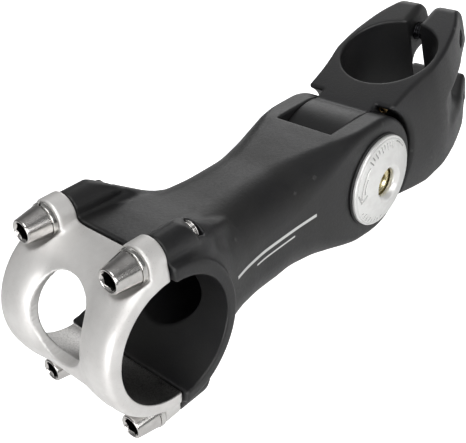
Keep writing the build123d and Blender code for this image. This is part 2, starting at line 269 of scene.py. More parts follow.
def rounded_section(inner, outer, low, high, radius, steps=5):
    """Outline of (radius, y) points round a rectangle with rounded corners."""
    corners = np.array([(inner, low), (outer, low), (outer, high), (inner, high)])
    points = []
    for i, corner in enumerate(corners):
        sides = [corners[j] - corner for j in (i - 1, (i + 1) % 4)]
        start, end = (corner + side / np.hypot(*side) * radius for side in sides)
        for k in range(steps + 1):
            t = k / steps
            points.append((1 - t) ** 2 * start + 2 * t * (1 - t) * corner + t * t * end)
    return points


def lathe(name, section, segments, to_row):
    """Closed ring turned about the local y axis from a closed outline."""
    verts, faces = [], []
    count = len(section)
    for i in range(segments):
        angle = 2 * math.pi * i / segments
        verts += [(r * math.cos(angle), y, r * math.sin(angle)) for r, y in section]
    for i in range(segments):
        j = (i + 1) % segments
        for k in range(count):
            m = (k + 1) % count
            faces.append((i * count + k, i * count + m, j * count + m, j * count + k))
    mesh = bpy.data.meshes.new(name)
    mesh.from_pydata([tuple(p) for p in to_row(np.array(verts))], [], faces)
    bm = bmesh.new()
    bm.from_mesh(mesh)
    finish_mesh(mesh, bm)
    return link_object(name, mesh)


pieces = []    # (object, key of its material)


def register(ob, body, node, slot, material=None):
    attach(ob, body)
    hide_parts(node)
    pieces.append((ob, material or slot))


# ======================= extension =========================================
# columns: x, half width, half height, corner radius
NECK_X, NECK_HALF_W, NECK_HALF_H, NECK_CORNER = np.array([
    (-84, 16.0, 18.0, 2.2), (-78, 16.0, 18.0, 2.4), (-73, 15.9, 17.9, 3.4),
    (-66, 15.6, 17.3, 6.0), (-58, 15.1, 16.6, 8.8), (-48, 14.8, 16.0, 11.0),
    (-38, 14.9, 15.9, 11.2), (-30, 15.7, 16.1, 11.6), (-23, 17.2, 16.7, 12.0),
    (-16, 19.2, 17.8, 8.0), (-8, 20.7, 18.9, 3.8), (0, 21.1, 19.4, 2.2),
]).T
BARREL_X = [-26, -20, -13.5, -10]    # stations where the bolt barrels run out


def barrel_rear(x, abs_y, abs_z):
    """The bolt barrels run out down a slope that also falls away outwards."""
    out = abs_y - 14.0
    out = 0.5 * (out + np.sqrt(out * out + 1.0)) * np.clip((-x - 8.0) / 3.0, 0, 1)
    return (abs_z - 24.0 - 0.66 * (x + 10.6) + 0.80 * out) * 0.72


def extension_field(x, y, z):
    abs_y, abs_z = np.abs(y), np.abs(z)
    pivot_x = x + REACH
    pivot_r, bar_r = off_axis(pivot_x, z), off_axis(x, z)
    # one skin from the bar clamp down the neck and round the ears, the belly drawn in
    belly = interp(x, [-84, -77, -70, -62, -54, -44], [0.0, 0.5, 1.2, 1.3, 0.8, 0.0])
    height = np.where(pivot_x < 0, pivot_r, abs_z + np.where(z < 0, belly, 0.0))
    dist = rounded_box(y, height, interp(x, NECK_X, NECK_HALF_W),
                       interp(x, NECK_X, NECK_HALF_H), interp(x, NECK_X, NECK_CORNER))
    dist = soft_meet(dist, abs_y - BAR_HALF_W + 0.02, 0.4)
    # saddle round the bar bore
    dist = join(dist, meet(bar_r - 19.0, abs_y - BAR_HALF_W, 0.9), 2.0)
    # bolt barrels, drawn in where they run out into the neck
    bolt_y = abs_y - BOLT_Y
    bolt_r = off_axis(bolt_y, abs_z - BOLT_Z)
    half_w = interp(x, BARREL_X, [0.6, 2.0, 3.7, 3.9])
    shifted_y = bolt_y + interp(x, BARREL_X, [3.6, 1.9, 0.2, 0.0])
    barrel = join(bolt_r - 4.05 - interp(x, [-26, -13.5], [-3.0, 0.0]),
                  meet(np.abs(shifted_y) - half_w, between(abs_z, 12.0, BOLT_Z)))
    barrel = meet(barrel, barrel_rear(x, abs_y, abs_z), 1.1)
    barrel = soft_meet(barrel, x - FACE_X, 0.4)
    barrel = cut(barrel, x + 26.0)
    dist = join(dist, barrel, interp(x, [-22, -16, -12.5, -10, 0], [2.5, 2.5, 2.0, 1.2, 1.1]))
    # end faces square to the bar, parting face
    dist = meet(dist, abs_y - BAR_HALF_W, 0.7)
    dist = meet(dist, x - FACE_X, 0.3)
    # bar bore and the hollow behind it
    dist = cut(dist, bar_r - BAR_R, 0.35)
    hollow = off_axis(y, z) - interp(x, [-56, -52, -33, -20, 5], [3.0, 7.0, 12.0, 12.0, 12.0])
    dist = cut(dist, soft_cut(hollow, x + 54.0, 4.0), 0.5)
    # slot for the tongue
    slot = join(pivot_r - (TONGUE_R + 1.0), x + 72.0)
    dist = cut(dist, meet(slot, abs_y - SLOT_HALF_W), 0.35)
    # blind bolt holes
    dist = cut(dist, cut(bolt_r - 2.55, (x + 14.0) * 0.6, 0.8), 0.3)
    # pivot hole, cap spigot pockets, then a deeper pocket on the left and on the right
    dist = cut(dist, pivot_r - 4.05)
    dist = cut(dist, meet(pivot_r - 8.5, 14.0 - abs_y))
    dist = cut(dist, meet(pivot_r - 7.05, 11.0 - y))
    dist = cut(dist, meet(pivot_r - 7.6, 11.0 + y))
    return cut(dist, meet(between(pivot_r, SEAT_INNER_R, SEAT_OUTER_R),
                          between(abs_y, SLOT_HALF_W - 1.0, SLOT_HALF_W + 1.5)))


# ======================= steerer clamp =====================================
# columns: x, half width at the top and bottom, half width at mid height
SIDE_X, SIDE_END, SIDE_MID = np.array([
    (-27, 9.3, 10.2), (-23, 10.4, 11.7), (-18.2, 12.6, 13.5), (-15.1, 13.7, 14.8),
    (-10.5, 14.9, 16.3), (-4.3, 16.1, 17.6), (2, 16.5, 18.0), (8, 15.6, 17.4),
    (13, 14.95, 16.7), (17.8, 14.7, 16.1), (22.4, 14.6, 15.6), (27, 14.4, 15.3),
]).T
WEB_X = 7.0                          # lower rear end of the web's sloping underside
WEB_FRONT_X, WEB_FRONT_Z = 39.8, -12.05
LOCK_X, LOCK_Y, LOCK_Z, LOCK_DEG = 20.75, 10.3, 17.2, 184    # mouth and direction


def clamp_flank(x, y, z):
    """Outer skin, with lugs rounded at their upper and lower rear corners."""
    abs_y, abs_z = np.abs(y), np.abs(z)
    bulge = 1.0 - np.clip(abs_z / CLAMP_HALF_H, 0, 1) ** 3.0
    end = interp(x, SIDE_X, SIDE_END)
    mid = interp(x, SIDE_X, SIDE_MID)
    low = np.clip(-z / 8.0, 0, 1) * interp(x, [-27, -22, -15, -5, 8], [1.0, 0.8, 0.5, 0.4, 0.0])
    dist = (abs_y - (end + (mid - end) * bulge - low)) * 0.95
    profile = meet(REAR_X - x, abs_z - CLAMP_HALF_H, LUG_R)
    profile = np.where(x < REAR_X + LUG_R, profile, abs_z - CLAMP_HALF_H)
    dist = meet(dist, profile, interp(x, [-24, -15, 0], [1.3, 0.9, 0.8]))
    # between the lugs the flank follows the ring round the bore
    scoop = meet(16.9 - off_axis(x, y), np.abs(z + 0.6) - 6.0, 3.0)
    return soft_cut(dist, soft_meet(scoop, x + 2.0, 4.0), 2.6)


def clamp_tongue(x, y, z, pivot_r):
    """Tongue and the web behind it, from the top plane to a sloping underside."""
    run, rise = WEB_FRONT_X - WEB_X, WEB_FRONT_Z + CLAMP_HALF_H
    under = -((z + CLAMP_HALF_H) * run - (x - WEB_X) * rise) / math.hypot(run, rise)
    web = meet(meet(z - CLAMP_HALF_H, under), between(x, 6.0, PIVOT[0]))
    tongue = join(pivot_r - TONGUE_R, web, 3.0)
    return meet(tongue, np.abs(y) - TONGUE_HALF_W, 0.5)


def lock_hole(x, y, z):
    cos_lock, sin_lock = math.cos(math.radians(LOCK_DEG)), math.sin(math.radians(LOCK_DEG))
    along = (x - LOCK_X) * cos_lock + (z - LOCK_Z) * sin_lock
    across = -(x - LOCK_X) * sin_lock + (z - LOCK_Z) * cos_lock
    return meet(off_axis(y - LOCK_Y, across) - 1.3, between(along, -3.0, 6.6))


def clamp_field(x, y, z):
    abs_y, abs_z = np.abs(y), np.abs(z)
    pivot_x, pivot_z = x - PIVOT[0], z - PIVOT[2]
    pivot_r = off_axis(pivot_x, pivot_z)
    dist = clamp_flank(x, y, z)
    # lower front bevel and the hollow round the pivot
    dist = meet(dist, (x - 12.3) * 0.5 - (z + CLAMP_HALF_H) * 0.866, 1.5)
    dist = meet(dist, x - PIVOT[0] + 8.0)
    dist = cut(dist, off_axis(pivot_x - 1.2, pivot_z - 1.0) - RELIEF_R, 1.4)
    dist = join(dist, clamp_tongue(x, y, z, pivot_r), 0.8)
    # the top is one flat plane out to where the round of the tongue rises above it
    dist = meet(dist, join(abs_z - CLAMP_HALF_H, pivot_r - TONGUE_R))
    dist = cut(dist, off_axis(x, y) - BORE_R, 0.5)
    # slit, its upper and lower edges well rounded
    slit = meet(abs_y - 2.0, x + 10.0)
    t = np.clip((abs_z - 13.0) / 5.0, 0, 1) * np.clip((-x - 12.5) / 3.5, 0.25, 1)
    dist = (1 - t) * cut(dist, slit, 0.6) + t * cut(dist, slit, 1.9)
    # notch between the lugs
    dist = cut(dist, rounded_box(x + 24.2, z, 9.2, 5.8, 3.5), 1.0)
    # pinch bolt holes, counterbored on the right
    pinch_r = off_axis(x - PINCH_X, abs_z - PINCH_Z)
    dist = cut(dist, pinch_r - 2.55, 0.2)
    dist = cut(dist, meet(pinch_r - 4.75, 5.0 + y), 0.35)
    # pivot bore and ring seats
    dist = cut(dist, pivot_r - 6.0)
    dist = cut(dist, meet(between(pivot_r, SEAT_INNER_R, SEAT_OUTER_R),
                          between(abs_y, TONGUE_HALF_W - 1.5, TONGUE_HALF_W + 1.0)))
    return cut(dist, lock_hole(x, y, z), 0.2)


# ======================= faceplate =========================================
WINDOW_Z, WINDOW_HALF_W, WINDOW_HALF_H, WINDOW_POWER = 5.3, 8.8, 10.1, 2.3


def window_field(y, z):
    """Oval window with a faintly rippled edge."""
    across, up = y / WINDOW_HALF_W, (z - WINDOW_Z) / WINDOW_HALF_H
    oval = (np.abs(across) ** WINDOW_POWER + np.abs(up) ** WINDOW_POWER) ** (1.0 / WINDOW_POWER)
    ripple = np.sin(54.0 * np.arctan2(up, across)) * (1.0 + 0.5 * np.sin(1.7 * z + 0.9 * y))
    return (oval - 1.0) * 9.0 + 0.04 * ripple


def plate_field(x, y, z):
    abs_y, abs_z = np.abs(y), np.abs(z)
    bar_r = off_axis(x, z)
    # D-section bands: an unequal oval crown
    band_y = abs_y - 14.8
    half_w = np.where(band_y > 0, 5.25, 6.3)
    power = np.where(band_y > 0, 3.0, 2.3)
    crown = np.maximum(bar_r - 15.2, 0.0)
    oval = (np.abs(band_y) / half_w) ** power + (crown / 5.0) ** power
    band = meet((oval ** (1.0 / power) - 1.0) * 4.9, abs_y - PLATE_HALF_W, 0.5)
    # bridges above and below the window, thinner beside it
    t = np.clip((np.abs(z - WINDOW_Z) - 5.0) / 7.0, 0, 1)
    t = t * t * (3 - 2 * t)
    dist = join(band, meet(bar_r - (17.6 + 1.6 * t), abs_y - 13.5), 2.6)
    dist = meet(dist, bar_r - 20.18, 1.5)
    # bolt barrels
    barrel_r = np.where(z > 0, 4.75, 4.1)
    bolt_y = abs_y - BOLT_Y
    bolt_r = off_axis(bolt_y, abs_z - BOLT_Z)
    barrel = join(bolt_r - barrel_r,
                  meet(np.abs(bolt_y) - barrel_r, between(abs_z, 11.0, BOLT_Z)))
    dist = join(dist, meet(barrel, x - 4.9, 0.7), 1.6)
    dist = meet(dist, abs_y - PLATE_HALF_W, 0.5)
    # bore, parting face
    dist = cut(dist, bar_r - BAR_R, 0.35)
    dist = cut(dist, x * -1.0 * -1.0, 0.3) if False else meet(dist, -x, 0.3)
    # recess round each bolt head, window, bolt holes
    dist = cut(dist, meet(bolt_r - 4.8, 4.9 - x), 0.4)
    dist = cut(dist, meet(window_field(y, z), 3.0 - x), 0.3)
    return cut(dist, bolt_r - 2.6, 0.2)


extension = mesh_from_field("extension_forging", extension_field, (-106, -23, -27),
                            (1.5, 23, 27), BODY_CELL, ext_to_row)
clamp = mesh_from_field("clamp_forging", clamp_field, (-28.5, -19.5, -22),
                        (55.5, 19.5, 25), BODY_CELL, to_metres)
plate = mesh_from_field("faceplate_forging", plate_field, (-1.5, -22, -27),
                        (22, 22, 27), PLATE_CELL, ext_to_row)
register(extension, "extension", "extension_body", "black_alloy", material="black_body")
register(clamp, "steerer_clamp", "steerer_clamp", "black_alloy")
register(plate, "faceplate", "faceplate", "silver_alloy")


# ======================= screws and washers ================================
# Each is modelled along its local x axis, which points towards the head of a screw.
def thread_radius(radius, x, angle, pitch, depth):
    """Radius of a V thread at position x along its axis and the given angle."""
    phase = (x / pitch - angle / (2 * math.pi)) % 1.0
    return radius - depth * np.clip(np.abs(phase - 0.5) * 2.6 - 0.3, 0.0, 1.0)


def hexagon(a, b, flats):
    """Hexagon of the given width across flats, with slightly eased corners."""
    half = flats / 2.0
    dist = np.abs(a) - half
    for k in (1, 2):
        cos_k, sin_k = math.cos(k * math.pi / 3), math.sin(k * math.pi / 3)
        dist = meet(dist, np.abs(a * cos_k + b * sin_k) - half, 0.15)
    return dist


def screw_field(base_r, top_r, head_from, head_to, flats, socket_depth, shank_r, tail, pitch,
                thread_to, dome=0.0):
    """Socket screw: shank from tail to head_from, head from there to head_to."""
    def field(x, y, z):
        r = np.hypot(y, z)
        t = np.clip((x - head_from) / (head_to - head_from), 0, 1)
        head = (r - (base_r + (top_r - base_r) * t)) * 0.99
        head = meet(head, x - head_to + dome * (r / top_r) ** 2, 0.34)
        head = meet(head, head_from - x, 0.22)
        threaded = thread_radius(shank_r, x, np.arctan2(z, y), pitch, 0.34)
        shank = (r - np.where(x < thread_to, threaded, shank_r - 0.12)) * 0.8
        shank = meet(shank, x - head_from - 1.0)
        shank = meet(shank, tail - x, 0.45)
        socket = meet(hexagon(y, z, flats), head_to - socket_depth - x + 0.35 * r)
        chamfer = (r - flats * 0.56 - (x - head_to + 0.45) * 0.9) * 0.74
        socket = join(socket, meet(chamfer, head_to - 0.8 - x))
        return cut(join(head, shank, 0.25), socket, 0.16)
    return field


def spun(v, angle):
    """The local y and z of points turned about the local x axis."""
    cos_a, sin_a = math.cos(angle), math.sin(angle)
    return v[:, 1] * cos_a - v[:, 2] * sin_a, v[:, 1] * sin_a + v[:, 2] * cos_a


# columns: side (+Y or -Y), level (+Z or -Z), turn of the bolt and direction of the
# washer's split, both in degrees from +Y towards +Z
BAR_BOLTS = {
    "upper_left": (1, 1, 12, 215),
    "upper_right": (-1, 1, 40, 98),
    "lower_left": (1, -1, 25, 250),
    "lower_right": (-1, -1, 3, 300),
}


def at_bar_bolt(side, level, degrees):
    def to_row(v):
        y, z = spun(v, math.radians(degrees))
        return ext_to_row(np.stack([v[:, 0], y + side * BOLT_Y, z + level * BOLT_Z], 1))
    return to_row


# faceplate bolts: tapered socket heads, M5 threads on the shanks
source = mesh_from_field(
    "bolt_src",
    screw_field(base_r=4.05, top_r=3.0, head_from=6.23, head_to=12.45, flats=4.0,
                socket_depth=3.6, shank_r=2.5, tail=-12.0, pitch=0.8, thread_to=1.5, dome=0.12),
    (-13.3, -4.6, -4.6), (12.9, 4.6, 4.6), SMALL_CELL, to_metres, keep_all=True)
for name, (side, level, turn, _) in BAR_BOLTS.items():
    node = "faceplate_bolt_" + name
    bolt = place("bolt_" + name, source, at_bar_bolt(side, level, turn))
    register(bolt, node, node, "chrome_steel")
drop(source)


def split_washer_field(x, y, z):
    r = np.hypot(y, z)
    from_mid = x - 5.55
    dist = meet(r - 4.3, 2.66 - r, 0.22)
    dist = meet(dist, np.abs(from_mid) - 0.64, 0.24)
    gap = np.abs(from_mid * 0.62 + z * 0.78) - 0.26
    return cut(dist, meet(gap, -y), 0.1)


source = mesh_from_field("washer_src", split_washer_field, (4.6, -5, -5), (6.5, 5, 5),
                         SMALL_CELL * 0.8, to_metres, keep_all=True)
for name, (side, level, _, split) in BAR_BOLTS.items():
    washer = place("split_washer_" + name, source, at_bar_bolt(side, level, split))
    register(washer, "faceplate", "spring_washer_" + name, "spring_steel")
drop(source)


# ======================= pivot caps and rings ==============================
# Modelled about the local y axis, which points outwards.
CAP_R, CAP_TOP = 13.47, 19.9


def polar(radius, degrees):
    return radius * math.cos(math.radians(degrees)), radius * math.sin(math.radians(degrees))


def sector(angle, low_deg, high_deg, radius):
    """Field of a range of angles, scaled to length at about the given radius."""
    return between(angle, math.radians(low_deg), math.radians(high_deg)) * radius


def engraving(x, z, r, angle):
    """Outline of the curved arrow, the tick marks and a short arc."""
    lines = meet(np.abs(r - (10.85 + 0.15 * np.cos(angle * 3))) - 0.2, sector(angle, -6, 45, 11))
    # head of the arrow, drawn as two strokes from its tip
    tip_x, tip_z = polar(11.05, -12)
    for end_x, end_z in (polar(12.15, 2), polar(9.3, -1)):
        run_x, run_z = end_x - tip_x, end_z - tip_z
        t = ((x - tip_x) * run_x + (z - tip_z) * run_z) / (run_x * run_x + run_z * run_z)
        t = np.clip(t, 0, 1)
        lines = join(lines, np.hypot(x - tip_x - t * run_x, z - tip_z - t * run_z) - 0.2)
    # second line of the arrow shaft
    lines = join(lines, meet(np.abs(r - 10.05) - 0.13, sector(angle, 2, 28, 10)))
    # rows of ticks: first and last angle, pitch in degrees, inner and outer radius
    for first, last, pitch, inner, outer in ((52, 108, 7.0, 10.1, 11.9),
                                             (-88, -30, 8.0, 10.7, 12.2)):
        k = np.clip(np.round((np.degrees(angle) - first) / pitch), 0, int((last - first) / pitch))
        turn = angle - np.radians(first + k * pitch)
        start = np.where(k % 2 == 0, inner, inner + 0.6)
        tick = meet(np.abs(r * np.sin(turn)) - 0.16, between(r, start, outer))
        lines = join(lines, np.where(np.cos(turn) > 0, tick, 5.0))
    return join(lines, meet(np.abs(r - 12.0) - 0.14, sector(angle, 118, 142, 12)))


def cap_field(marked):
    def field(x, y, z):
        r = np.hypot(x, z)
        top = np.minimum(17.66 + np.clip(13.1 - r, 0, 20) * 0.302, CAP_TOP)
        dist = (y - top) * 0.957
        dist = meet(dist, r - CAP_R, 0.42)
        dist = meet(dist, 16.57 - y, 0.12)
        # hole with a wide chamfer
        dist = cut(dist, r - 4.25, 0.1)
        dist = cut(dist, (r - 5.35 - (y - CAP_TOP)) * 0.707, 0.22)
        # hollow inside and the spigot in the ear
        dist = cut(dist, meet(r - 7.65, y - 17.6 + 0.2 * (r - 4.25)), 0.2)
        dist = join(dist, meet(between(r, 7.65, 8.48), between(y, 14.07, 17.0)))
        # a fine turned line near the rim
        dist = soft_cut(dist, np.hypot(r - 12.75, y - 17.77) - 0.12, 0.12)
        if marked:
            lines = engraving(x, z, r, np.arctan2(z, x))
            dist = cut(dist, meet(lines, top - 0.22 - y), 0.06)
        return dist
    return field


def at_pivot(side):
    def to_row(v):
        return ext_to_row(np.stack([v[:, 0] - REACH, v[:, 1] * side, v[:, 2]], 1))
    return to_row


for name, side, marked in (("left", 1, True), ("right", -1, False)):
    source = mesh_from_field("cap_src", cap_field(marked), (-13.9, 13.7, -13.9),
                             (13.9, 20.3, 13.9), CAP_CELL, to_metres, keep_all=True)
    cap = place("pivot_disc_" + name, source, at_pivot(side))
    if side < 0:
        cap.data.flip_normals()
    drop(source)
    register(cap, "extension", "pivot_cap_" + name, "cap_silver")
    section = rounded_section(inner=8.6, outer=13.93, low=16.02, high=16.53, radius=0.22)
    ring = lathe("rubber_ring_" + name, section, 128, at_pivot(side))
    register(ring, "extension", "cap_ring_" + name, "black_rubber")


# ======================= pivot, pinch and lock screws ======================
def at_pivot_bolt(v):
    x, z = spun(v, 0.35)
    return ext_to_row(np.stack([x - REACH, v[:, 0], -z], 1))


# pivot bolt: low head on the left with a 6 mm socket, M8 thread
source = mesh_from_field(
    "pivot_src",
    screw_field(base_r=6.5, top_r=6.45, head_from=12.03, head_to=17.1, flats=6.0,
                socket_depth=3.6, shank_r=4.0, tail=-16.6, pitch=1.25, thread_to=-5.0),
    (-17.1, -7, -7), (17.6, 7, 7), SMALL_CELL * 1.3, to_metres, keep_all=True)
pivot_bolt = place("pivot_screw", source, at_pivot_bolt)
drop(source)
register(pivot_bolt, "pivot_bolt", "pivot_bolt", "zinc_gold")


def at_pinch_bolt(level, angle):
    def to_row(v):
        x, z = spun(v, angle)
        return np.stack([x + PINCH_X, -v[:, 0], z + level * PINCH_Z], 1) * MM
    return to_row


def at_pinch_washer(level):
    def to_row(v):
        return (v + np.array([PINCH_X, 0.0, level * PINCH_Z])) * MM
    return to_row


# pinch bolts: straight socket heads on the right, flat washers beneath them
source = mesh_from_field(
    "pinch_src",
    screw_field(base_r=4.22, top_r=4.2, head_from=6.03, head_to=10.93, flats=4.0,
                socket_depth=2.8, shank_r=2.5, tail=-11.6, pitch=0.8, thread_to=3.0),
    (-12.1, -4.8, -4.8), (11.4, 4.8, 4.8), SMALL_CELL, to_metres, keep_all=True)
for name, level, turn in (("upper", 1, 0.2), ("lower", -1, 0.75)):
    node = "pinch_bolt_" + name
    bolt = place("pinch_screw_" + name, source, at_pinch_bolt(level, turn))
    register(bolt, node, node, "black_steel")
    section = rounded_section(inner=2.68, outer=4.58, low=-5.98, high=-5.02, radius=0.2)
    washer = lathe("pinch_flat_washer_" + name, section, 72, at_pinch_washer(level))
    register(washer, "steerer_clamp", "pinch_washer_" + name, "black_steel")
drop(source)


def lock_field(x, y, z):
    """Short brass set screw with a small hex socket at x = 0."""
    r = np.hypot(y, z)
    dist = meet(r - thread_radius(1.25, x, np.arctan2(z, y), 0.5, 0.14), -x, 0.2)
    dist = meet(dist, x - 6.0, 0.2)
    return cut(dist, meet(hexagon(y, z, 1.3), x - 1.5), 0.06)


def at_lock(v):
    along = -np.array(joints["angle_lock_turn"]["axis"], float)
    origin = np.array(joints["angle_lock_turn"]["pos_m"], float)
    left = np.array([0.0, 1.0, 0.0])
    v = v * MM
    return origin + v[:, :1] * along + v[:, 1:2] * left + v[:, 2:3] * np.cross(along, left)


source = mesh_from_field("lock_src", lock_field, (-0.3, -1.6, -1.6), (6.3, 1.6, 1.6),
                         SMALL_CELL * 0.55, to_metres, keep_all=True)
register(place("lock_screw", source, at_lock), "angle_lock_screw", "angle_lock_screw", "brass")
drop(source)


# ======================= procedural materials ==============================
class Paint:
    """A node material; coordinates are the piece's own, in millimetres of the row frame."""

    def __init__(self, name):
        self.material = bpy.data.materials.new(name)
        self.material.use_nodes = True
        self.tree = self.material.node_tree
        self.shader = self.tree.nodes["Principled BSDF"]
        coords = self.node("TexCoord")
        scale = self.node("VectorMath")
        scale.operation = "SCALE"
        scale.inputs["Scale"].default_value = 1000.0
        self.feed(scale, 0, coords.outputs["Object"])
        self.position = scale.outputs[0]

    def node(self, kind):
        return self.tree.nodes.new("ShaderNode" + kind)

    def feed(self, node, socket, value):
        """Link an output to the socket, or set the socket to a number or a colour."""
        target = node.inputs[socket]
        if hasattr(value, "is_output"):
            self.tree.links.new(value, target)
        else:
            target.default_value = (*value, 1) if isinstance(value, tuple) else value

    def put(self, socket, value):
        self.feed(self.shader, socket, value)

    def math(self, operation, a, b=0.0, clamp=False):
        node = self.node("Math")
        node.operation = operation
        node.use_clamp = clamp
        self.feed(node, 0, a)
        self.feed(node, 1, b)
        return node.outputs[0]

    def noise(self, scale, detail=2.0, rough=0.5, vector=None, distortion=0.0):
        node = self.node("TexNoise")
        self.feed(node, "Vector", self.position if vector is None else vector)
        self.feed(node, "Scale", scale)
        self.feed(node, "Detail", detail)
        self.feed(node, "Roughness", rough)
        self.feed(node, "Distortion", distortion)
        return node.outputs[0]

    def remap(self, value, span, to=(0.0, 1.0)):
        """Clamped map from the range span to the range to."""
        node = self.node("MapRange")
        node.clamp = True
        for i, item in enumerate((value, *span, *to)):
            self.feed(node, i, item)
        return node.outputs[0]

    def mix(self, factor, a, b):
        node = self.node("Mix")
        node.data_type = "RGBA"
        for socket, value in ((0, factor), (6, a), (7, b)):
            self.feed(node, socket, value)
        return node.outputs[2]

    def bump(self, height, strength, depth, normal=None):
        node = self.node("Bump")
        self.feed(node, "Strength", strength)
        self.feed(node, "Distance", depth * MM)
        self.feed(node, "Height", height)
        if normal is not None:
            self.feed(node, "Normal", normal)
        return node.outputs[0]

    def hollow(self, reach, span):
        """1 deep inside a recess of the piece, 0 in the open."""
        node = self.node("AmbientOcclusion")
        node.only_local = True
        node.samples = 12
        node.inputs["Distance"].default_value = reach * MM
        return self.remap(node.outputs["AO"], span, to=(1.0, 0.0))

    def pointy(self):
        return self.node("NewGeometry").outputs["Pointiness"]

    def from_axis(self, centre):
        """x, y, z outputs, with x and z measured from an axis along Y through centre."""
        node = self.node("SeparateXYZ")
        self.feed(node, 0, self.position)
        x, y, z = node.outputs
        return (self.math("SUBTRACT", x, float(centre[0])), y,
                self.math("SUBTRACT", z, float(centre[2])))

    def radial(self, centre):
        x, _, z = self.from_axis(centre)
        total = self.math("ADD", self.math("MULTIPLY", x, x), self.math("MULTIPLY", z, z))
        return self.math("SQRT", total)

    def extension_xyz(self):
        """Coordinates in the extension frame."""
        x, y, z = self.from_axis(PIVOT)
        along = self.math("ADD", self.math("MULTIPLY", x, COS_RISE),
                          self.math("MULTIPLY", z, SIN_RISE))
        up = self.math("SUBTRACT", self.math("MULTIPLY", z, COS_RISE),
                       self.math("MULTIPLY", x, SIN_RISE))
        return self.math("SUBTRACT", along, REACH), y, up


def pinstripe(paint, x, z, start, end, height, half_w):
    edge_gain = 12.0    # sharpness of the stripe's edge, per mm
    t = paint.remap(x, span=(start, end))
    centre = paint.remap(t, span=(0.0, 1.0), to=(height, height))
    half = paint.remap(t, span=(0.0, 1.0), to=(half_w, half_w))
    offset = paint.math("ABSOLUTE", paint.math("SUBTRACT", z, centre))
    inside = paint.math("SUBTRACT", half, offset)
    ends = paint.math("MINIMUM", paint.math("SUBTRACT", x, start), paint.math("SUBTRACT", end, x))
    inside = paint.math("MINIMUM", inside, ends)
    return paint.math("MULTIPLY", inside, edge_gain, clamp=True)


def pinstripes(paint, grain):
    """Mask of two plain pinstripes on each flank."""
    flank_y = 10.0
    x, y, z = paint.extension_xyz()
    mask = paint.math(
        "MAXIMUM",
        pinstripe(paint, x, z, start=-58.0, end=-24.0, height=1.5, half_w=0.5),
        pinstripe(paint, x, z, start=-49.0, end=-33.0, height=-0.6, half_w=0.3))
    flank = paint.math("GREATER_THAN", paint.math("ABSOLUTE", y), flank_y)
    mask = paint.math("MULTIPLY", mask, flank)
    return paint.math("MULTIPLY", mask, paint.remap(grain, span=(0.2, 0.4), to=(0.86, 1.0)))


def black_coat(name, striped=False):
    """Satin black powder coat: broad tone drift, orange peel, sandy grain, rubbed edges."""
    edge_wear, stripe_rough = 0.55, 0.1
    paint = Paint(name)
    broad = paint.noise(scale=0.055, detail=3.0, rough=0.55)
    peel = paint.noise(scale=1.15, detail=3.0, rough=0.55)
    grain = paint.noise(scale=5.2, detail=2.0, rough=0.6)
    base = paint.mix(paint.remap(broad, span=(0.35, 0.68)),
                     (0.0085, 0.0085, 0.0098), (0.0130, 0.0128, 0.0125))
    base = paint.mix(paint.remap(grain, span=(0.3, 0.75), to=(0.0, 0.35)),
                     base, (0.024, 0.024, 0.024))
    edge = paint.remap(paint.pointy(), span=(0.53, 0.62))
    edge = paint.math("MULTIPLY", edge, paint.remap(peel, span=(0.35, 0.7), to=(0.25, 1.0)))
    base = paint.mix(paint.math("MULTIPLY", edge, edge_wear), base, (0.075, 0.075, 0.073))
    rough = paint.math("ADD", paint.remap(broad, span=(0.3, 0.7), to=(0.37, 0.46)),
                       paint.remap(peel, span=(0.3, 0.7), to=(-0.03, 0.04)))
    if striped:
        mask = pinstripes(paint, grain)
        base = paint.mix(mask, base, (0.66, 0.66, 0.65))
        rough = paint.math("ADD", rough, paint.math("MULTIPLY", mask, stripe_rough))
    normal = paint.bump(peel, strength=0.36, depth=0.11)
    normal = paint.bump(grain, strength=0.34, depth=0.04, normal=normal)
    paint.put("Base Color", base)
    paint.put("Roughness", rough)
    paint.put("Specular IOR Level", 0.42)
    paint.put("Normal", normal)
    return paint.material


def satin_silver(name):
    """Tumbled aluminium: matt frosting, small dark pits, brighter rubbed edges, painted shade in
    the bar bore.
    """
    pit_dark, bore_polish = 0.55, 0.14
    bore_limit, bore_gain = 16.15, 8.0    # mask of the bar bore: radius and edge sharpness
    paint = Paint(name)
    broad = paint.noise(scale=0.12, detail=3.0, rough=0.6)
    frost = paint.noise(scale=7.0, detail=3.0, rough=0.65)
    pits = paint.noise(scale=2.6, detail=4.0, rough=0.7)
    base = paint.mix(paint.remap(broad, span=(0.35, 0.7)),
                     (0.80, 0.788, 0.772), (0.69, 0.676, 0.66))
    spot = paint.math("MULTIPLY", paint.remap(pits, span=(0.60, 0.70)),
                      paint.remap(broad, span=(0.42, 0.62), to=(0.1, 0.8)))
    base = paint.mix(paint.math("MULTIPLY", spot, pit_dark), base, (0.26, 0.25, 0.24))
    edge = paint.remap(paint.pointy(), span=(0.54, 0.62), to=(0.0, 0.5))
    base = paint.mix(edge, base, (0.86, 0.85, 0.83))
    # the bored seat for the bar is smoother and more mirror-like than the tumbled outside, and its
    # colour is darkened in a mottle as painted shade
    bore = paint.math("MULTIPLY", paint.math("SUBTRACT", bore_limit, paint.radial(BAR)),
                      bore_gain, clamp=True)
    shade = paint.math("MULTIPLY", bore, paint.remap(pits, span=(0.45, 0.65), to=(0.25, 0.7)))
    base = paint.mix(shade, base, (0.22, 0.215, 0.21))
    paint.put("Base Color", base)
    paint.put("Metallic", paint.remap(bore, span=(0.0, 1.0), to=(0.62, 1.0)))
    rough = paint.math("ADD", paint.remap(broad, span=(0.3, 0.7), to=(0.42, 0.53)),
                       paint.remap(frost, span=(0.3, 0.7), to=(-0.05, 0.05)))
    polish = paint.math("MULTIPLY", bore, bore_polish)
    paint.put("Roughness", paint.math("SUBTRACT", rough, polish))
    normal = paint.bump(frost, strength=0.34, depth=0.035)
    paint.put("Normal", paint.bump(pits, strength=0.34, depth=0.07, normal=normal))
    return paint.material


